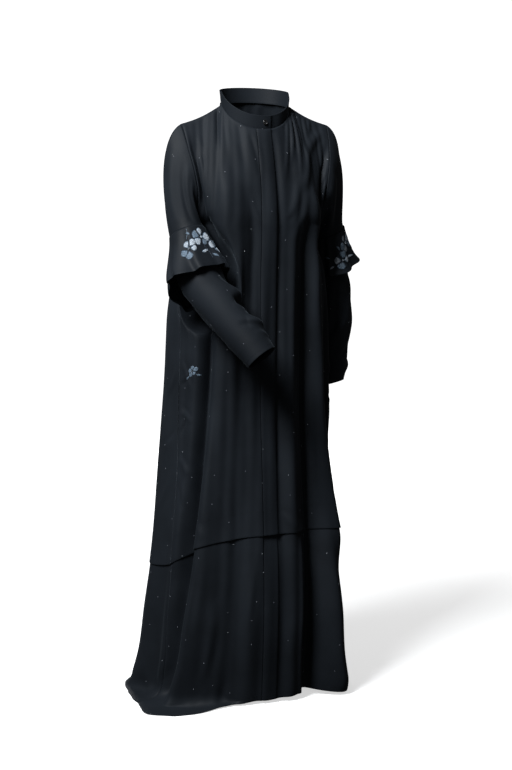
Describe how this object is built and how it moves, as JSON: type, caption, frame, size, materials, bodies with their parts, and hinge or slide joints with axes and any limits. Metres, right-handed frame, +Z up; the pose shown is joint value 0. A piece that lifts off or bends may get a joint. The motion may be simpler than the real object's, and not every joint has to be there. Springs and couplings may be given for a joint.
{
  "type": "abaya dress",
  "caption": "Loose floor-length shirt dress in black crepe, with a stand collar, a covered front placket, elbow flounces and a tuck above the hem, holding its worn hollow form.",
  "frame": {"origin": "midway between the two neck points, where the shoulder seams meet the collar, and where the wearer's shoulders hold the dress up", "axes": "+X towards the wearer's left, -Y towards the front, +Z up"},
  "size_m": [0.6046, 0.5759, 1.5038],
  "materials": {
    "crepe": "near-black crepe with a soft sheen and scattered tiny crystal studs",
    "embroidered_crepe": "near-black crepe with raised satin-stitch flowers in white, grey-blue and slate",
    "button": "polished dark horn, four holes"
  },
  "bodies": {
    "root": {"front_right": "crepe", "front_left": "crepe", "back": "crepe", "placket_upper": "crepe", "placket_lower": "crepe", "skirt_front_right": "crepe", "skirt_front_left": "crepe", "skirt_back": "crepe", "sleeve_upper_right": "crepe", "sleeve_upper_left": "crepe", "sleeve_lower_right": "crepe", "sleeve_lower_left": "crepe", "flounce_right": "embroidered_crepe", "flounce_left": "embroidered_crepe", "collar": "crepe", "collar_button": "button"}
  },
  "joints": []
}
